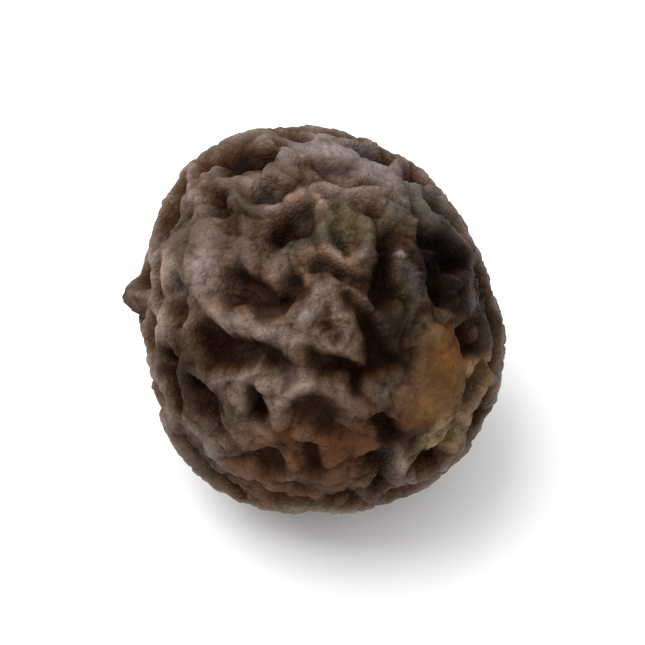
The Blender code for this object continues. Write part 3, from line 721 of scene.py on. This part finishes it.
def patch_height(edge):
    """Height of the worn patch and of the groove round it, and how much of the net it takes away."""
    cover = 1 / (1 + np.exp((edge - 1) / PATCH_EDGE_SOFTNESS))
    bulge = PATCH_BULGE * bump(edge, 1, WALL_STEEPNESS)
    groove = PATCH_GROOVE_DEPTH * bump(edge - PATCH_GROOVE_RADIUS, PATCH_GROOVE_HALF_WIDTH)
    return bulge - groove, cover


def fine_height(directions, ridge, worn):
    """Height of the fine wrinkles, lumps and pores, which are lower on the ridges and the worn patch."""
    height = LUMP_HEIGHT * smooth_noise(directions, LUMP_LENGTH, LUMP_SEED)
    height += PORE_HEIGHT * smooth_noise(directions, PORE_LENGTH, PORE_SEED)
    for number, (wavelength, depth, half_width) in enumerate(CREASES):
        waves = smooth_noise(directions, wavelength, CREASE_SEED + number)
        height -= depth * bump(waves, half_width)
    return height * (1 - (1 - CREST_SHARE) * ridge) * (1 - (1 - WORN_SHARE) * worn)


def berry_surface(directions):
    """The berry's surface along each direction, resting on z = 0, with the values that its colours follow."""
    ridge, hollow = net(directions)
    scar, scar_cover = scar_height(directions)
    edge = patch_edge(directions)
    worn, worn_cover = patch_height(edge)
    bare = (1 - scar_cover) * (1 - worn_cover)
    coarse = RIDGE_HEIGHT * ridge - HOLLOW_DEPTH * hollow * (1 - ridge)
    fine = fine_height(directions, ridge * bare, worn_cover)
    height = shoulder_height(directions) + nub_height(directions) + scar + worn + coarse * bare + fine
    points = directions * (BODY_RADIUS + height)[:, None]
    points[:, 2] = np.maximum(points[:, 2] + CENTRE_HEIGHT, 0)
    values = {
        "crest": ridge * bare + np.maximum(scar, 0) / SCAR_RING_HEIGHT,
        "pit": hollow * (1 - ridge) * bare + np.maximum(-scar, 0) / SCAR_HOLE_DEPTH,
        "worn": 1 / (1 + np.exp((edge - TAN_REACH) / TAN_SOFTNESS)),
        "scar": scar_cover,
        "fine": fine / FINE_RANGE,
    }
    return points, values


def cube_to_sphere(corners):
    """Directions through the points of a cube of half size 1, spread evenly."""
    return unit(np.tan(corners * math.pi / 4))


def berry_mesh():
    """A finely divided cube, shaped into the berry, with its surface values as point attributes."""
    shape = bmesh.new()
    bmesh.ops.create_cube(shape, size=2)
    bmesh.ops.subdivide_edges(shape, edges=shape.edges, cuts=GRID_CUTS, use_grid_fill=True)
    mesh = bpy.data.meshes.new("dressed_peppercorn")
    shape.to_mesh(mesh)
    shape.free()
    corners = np.empty(len(mesh.vertices) * 3)
    mesh.vertices.foreach_get("co", corners)
    directions = cube_to_sphere(corners.reshape(-1, 3))
    points, values = berry_surface(directions)
    mesh.vertices.foreach_set("co", points.ravel())
    for name, value in values.items():
        attribute = mesh.attributes.new(name, "FLOAT", "POINT")
        attribute.data.foreach_set("value", value.astype(np.float32))
    paint_stains_and_light(mesh, directions)
    mesh.update()
    mesh.shade_smooth()
    return mesh


def paint_stains_and_light(mesh, directions):
    """Soft-edged stains, painted shade and painted highlights of the seen side, as a colour for each point
    with its share as alpha.
    """
    colour = np.zeros((len(directions), 4))
    for number, (place, size, tint, strength) in enumerate(STAINS_AND_PAINTED_LIGHT):
        centre = seen_direction(place[0] * MM, place[1] * MM)
        sideways, upwards = surface_axes(centre)
        offset = (directions - centre) * BODY_RADIUS / MM
        off = np.sqrt((offset @ sideways / size[0]) ** 2 + (offset @ upwards / size[1]) ** 2)
        off += (offset @ centre / min(size)) ** 2
        off += STAIN_AND_LIGHT_WOBBLE * smooth_noise(directions, STAIN_AND_LIGHT_WOBBLE_LENGTH, STAIN_AND_LIGHT_SEED + number)
        share = strength * bump(np.maximum(off, 0), 1, STAIN_AND_LIGHT_STEEPNESS)
        kept = colour[:, 3] * (1 - share)
        total = kept + share
        safe = np.maximum(total, LEAST_STAIN_AND_LIGHT)
        colour[:, :3] = (colour[:, :3] * kept[:, None] + np.array(tint) * share[:, None]) / safe[:, None]
        colour[:, 3] = total
    attribute = mesh.attributes.new("stain_and_light", "FLOAT_COLOR", "POINT")
    attribute.data.foreach_set("color", colour.astype(np.float32).ravel())


def add_node(tree, kind, inputs=None, **settings):
    """A node with its settings. Each input, by name or number, is set to a value or linked to an output."""
    node = tree.nodes.new(kind)
    for name, value in settings.items():
        setattr(node, name, value)
    for name, value in (inputs or {}).items():
        if isinstance(value, bpy.types.NodeSocket):
            tree.links.new(value, node.inputs[name])
        else:
            node.inputs[name].default_value = value
    return node


def attribute(tree, name, output="Fac"):
    """One of the mesh's point values."""
    return add_node(tree, "ShaderNodeAttribute", attribute_name=name).outputs[output]


def noise(tree, place, wavelength, detail, roughness, offset):
    """Smooth random values about 0.5, from a solid noise."""
    inputs = {"Vector": place, "W": offset, "Scale": 1 / wavelength, "Detail": detail, "Roughness": roughness}
    return add_node(tree, "ShaderNodeTexNoise", inputs, noise_dimensions="4D").outputs["Fac"]


def math_node(tree, operation, first, second=0.0):
    """One arithmetic operation on two values."""
    return add_node(tree, "ShaderNodeMath", {0: first, 1: second}, operation=operation).outputs[0]


def spread(tree, value, low, high, to_low=0.0, to_high=1.0):
    """The value, stretched from one range to another and held inside it."""
    inputs = {"Value": value, "From Min": low, "From Max": high, "To Min": to_low, "To Max": to_high}
    return add_node(tree, "ShaderNodeMapRange", inputs, interpolation_type="SMOOTHSTEP").outputs[0]


def mix(tree, share, first, second, blend="MIX"):
    """Two colours mixed."""
    inputs = {0: share, 6: first, 7: second}
    return add_node(tree, "ShaderNodeMix", inputs, data_type="RGBA", blend_type=blend).outputs[2]


def ramp(tree, value, stops):
    """A colour read from a row of stops."""
    node = add_node(tree, "ShaderNodeValToRGB", {0: value})
    elements = node.color_ramp.elements
    for _ in range(len(stops) - len(elements)):
        elements.new(0.5)
    for element, (position, colour) in zip(elements, stops):
        element.position = position
        element.color = (*colour, 1)
    return node.outputs["Color"]


def skin_height(tree, place, plates):
    """How high on the net a point is, from 0 in a pit to 1 on a crest, a little uneven, and lower in creases
    and grooves as painted shade.
    """
    crest = math_node(tree, "MULTIPLY", attribute(tree, "crest"), CREST_LIFT)
    pit = math_node(tree, "MULTIPLY", attribute(tree, "pit"), -PIT_DROP)
    height = math_node(tree, "ADD", math_node(tree, "ADD", crest, pit), FLAT_LEVEL)
    # Painted shade in the fine wrinkles.
    fine = math_node(tree, "MULTIPLY", attribute(tree, "fine"), FINE_SHADE)
    uneven = spread(tree, noise(tree, place, *MOTTLE_NOISE), *MOTTLE_RANGE, -MOTTLE_SHADE, MOTTLE_SHADE)
    # Painted shade in the grooves between the plates.
    grooves = spread(tree, plates, 0, 1, -LEATHER_SHADE, 0)
    uneven = math_node(tree, "ADD", uneven, grooves)
    return math_node(tree, "ADD", math_node(tree, "ADD", height, fine), uneven)


def skin_colour(tree, place, height):
    """Pits near black, partly as painted shade, brown slopes and dusty crests, with patches of other tints,
    stains, painted shade and highlights, and dust.
    """
    # The ramps darken the pits partly as the skin's own tone and partly as painted shade.
    colour = ramp(tree, height, SKIN_STOPS)
    red = ramp(tree, height, RED_STOPS)
    olive = ramp(tree, height, OLIVE_STOPS)
    colour = mix(tree, spread(tree, noise(tree, place, *RED_NOISE), *RED_EDGE), colour, red)
    colour = mix(tree, spread(tree, noise(tree, place, *OLIVE_NOISE), *OLIVE_EDGE), colour, olive)
    worn = attribute(tree, "worn")
    # Painted shade on the patch towards the groove round it.
    rim = spread(tree, worn, *TAN_RIM_EDGE, -TAN_RIM_SHADE, 0)
    cloudy = noise(tree, place, *TAN_NOISE)
    tan = ramp(tree, math_node(tree, "ADD", cloudy, rim), TAN_STOPS)
    frayed = spread(tree, noise(tree, place, *FRAY_NOISE), *FRAY_RANGE, -TAN_FRAYING, TAN_FRAYING)
    bare = spread(tree, math_node(tree, "ADD", worn, frayed), *TAN_EDGE)
    bare = math_node(tree, "MULTIPLY", bare, spread(tree, worn, *TAN_OUTER_EDGE))
    colour = mix(tree, bare, colour, tan)
    grain = spread(tree, noise(tree, place, *SCAR_NOISE), *SCAR_RANGE, -SCAR_MOTTLE, SCAR_MOTTLE)
    woody = ramp(tree, math_node(tree, "ADD", height, grain), WOODY_STOPS)
    colour = mix(tree, math_node(tree, "MULTIPLY", attribute(tree, "scar"), SCAR_TINT), colour, woody)
    speckled = spread(tree, noise(tree, place, *DUST_NOISE), *DUST_EDGE)
    dust = math_node(tree, "MULTIPLY", speckled, spread(tree, height, *DUST_HEIGHTS, 0, DUST_SHARE))
    colour = mix(tree, dust, colour, (*DUST_COLOUR, 1))
    # Painted shade in the pits and painted light on the crests, on the tints of the stains and painted marks.
    lit = spread(tree, height, 0, 1, PAINTED_PIT_SHADE, PAINTED_CREST_LIGHT)
    stain_and_light = mix(tree, 1.0, attribute(tree, "stain_and_light", "Color"), lit, "MULTIPLY")
    colour = mix(tree, attribute(tree, "stain_and_light", "Alpha"), colour, stain_and_light)
    flecks = spread(tree, noise(tree, place, *FLECK_NOISE), *FLECK_EDGE, 0, FLECK_SHARE)
    return mix(tree, flecks, colour, (*FLECK_COLOUR, 1))


def leather(tree, place):
    """Small uneven plates with grooves between them: 0 in a groove and 1 on a plate."""
    inputs = {"Vector": place, "Scale": 1 / LEATHER_WARP_LENGTH, "Detail": LEATHER_WARP_DETAIL}
    warp = add_node(tree, "ShaderNodeTexNoise", inputs).outputs["Color"]
    inputs = {0: warp, 1: LEATHER_WARP_MIDDLE}
    warp = add_node(tree, "ShaderNodeVectorMath", inputs, operation="SUBTRACT").outputs[0]
    inputs = {0: warp, "Scale": LEATHER_WARP}
    warp = add_node(tree, "ShaderNodeVectorMath", inputs, operation="SCALE").outputs[0]
    warped = add_node(tree, "ShaderNodeVectorMath", {0: place, 1: warp}, operation="ADD").outputs[0]
    inputs = {"Vector": warped, "Scale": 1 / LEATHER_LENGTH}
    plates = add_node(tree, "ShaderNodeTexVoronoi", inputs, feature="DISTANCE_TO_EDGE").outputs["Distance"]
    return spread(tree, plates, 0, LEATHER_EDGE)


def skin_bump(tree, place, plates):
    """The grain of the skin, too fine for the mesh."""
    coarse = math_node(tree, "MULTIPLY", noise(tree, place, *GRAIN_NOISE), GRAIN_RATIO)
    fine = math_node(tree, "MULTIPLY", noise(tree, place, *FINE_GRAIN_NOISE), FINE_GRAIN_RATIO)
    height = math_node(tree, "ADD", math_node(tree, "ADD", coarse, fine), plates)
    inputs = {"Strength": GRAIN_STRENGTH, "Distance": GRAIN_HEIGHT, "Height": height}
    return add_node(tree, "ShaderNodeBump", inputs).outputs["Normal"]


def skin_material():
    """Dull, dusty, dried plant skin."""
    material = bpy.data.materials.new("dried skin")
    material.use_nodes = True
    tree = material.node_tree
    shader = tree.nodes["Principled BSDF"]
    place = add_node(tree, "ShaderNodeTexCoord").outputs["Object"]
    plates = leather(tree, place)
    height = skin_height(tree, place, plates)
    roughness = spread(tree, noise(tree, place, *GLOSS_NOISE), *GLOSS_RANGE, *ROUGHNESSES)
    tree.links.new(skin_colour(tree, place, height), shader.inputs["Base Color"])
    tree.links.new(roughness, shader.inputs["Roughness"])
    tree.links.new(skin_bump(tree, place, plates), shader.inputs["Normal"])
    shader.inputs["Specular IOR Level"].default_value = SPECULAR
    shader.inputs["Specular Tint"].default_value = (*SPECULAR_TINT, 1)
    shader.inputs["Sheen Weight"].default_value = SHEEN
    shader.inputs["Sheen Roughness"].default_value = SHEEN_ROUGHNESS
    shader.inputs["Sheen Tint"].default_value = (*SHEEN_TINT, 1)
    return material


def make_berry():
    """The fine berry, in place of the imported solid."""
    mesh = berry_mesh()
    mesh.materials.append(skin_material())
    berry = bpy.data.objects.new("dressed_peppercorn", mesh)
    bpy.context.scene.collection.objects.link(berry)
    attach(berry, "root")
    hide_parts("peppercorn")


def make_floor():
    """A plain pale floor."""
    mesh = bpy.data.meshes.new("floor")
    shape = bmesh.new()
    bmesh.ops.create_grid(shape, x_segments=1, y_segments=1, size=FLOOR_SIZE / 2)
    shape.to_mesh(mesh)
    shape.free()
    material = bpy.data.materials.new("floor")
    material.use_nodes = True
    shader = material.node_tree.nodes["Principled BSDF"]
    shader.inputs["Base Color"].default_value = (*FLOOR_COLOUR, 1)
    shader.inputs["Roughness"].default_value = FLOOR_ROUGHNESS
    mesh.materials.append(material)
    floor = bpy.data.objects.new("floor", mesh)
    floor.location = (0, 0, -FLOOR_GAP)
    bpy.context.scene.collection.objects.link(floor)


def aim(item, place, target):
    """Put a light or the camera at a place, looking at a target."""
    item.location = place
    item.rotation_euler = (Vector(target) - Vector(place)).to_track_quat("-Z", "Y").to_euler()


def make_lights(target):
    """Soft lights from the upper left and all round."""
    for name, place, size, power in LIGHTS:
        lamp = bpy.data.lights.new(name, "AREA")
        lamp.size = size
        lamp.energy = power
        light = bpy.data.objects.new(name, lamp)
        bpy.context.scene.collection.objects.link(light)
        aim(light, place, target)
    world = bpy.data.worlds.new("studio")
    world.use_nodes = True
    background = world.node_tree.nodes["Background"]
    background.inputs["Color"].default_value = (*WORLD_COLOUR, 1)
    background.inputs["Strength"].default_value = WORLD_STRENGTH
    bpy.context.scene.world = world


def make_camera(target):
    """A long lens that looks down at the berry by VIEW_ELEVATION."""
    lens = bpy.data.cameras.new("camera")
    lens.lens = LENS
    lens.sensor_width = SENSOR
    lens.clip_start = CLIP_START
    camera = bpy.data.objects.new("camera", lens)
    bpy.context.scene.collection.objects.link(camera)
    away = VIEW_WIDTH * LENS / SENSOR
    towards = Vector(seen_axes()[2])
    aim(camera, Vector(target) + towards * away, target)
    bpy.context.scene.camera = camera


middle = (0, 0, CENTRE_HEIGHT)
make_berry()
make_floor()
make_lights(middle)
make_camera(middle)
bpy.context.scene.view_settings.view_transform = "Standard"
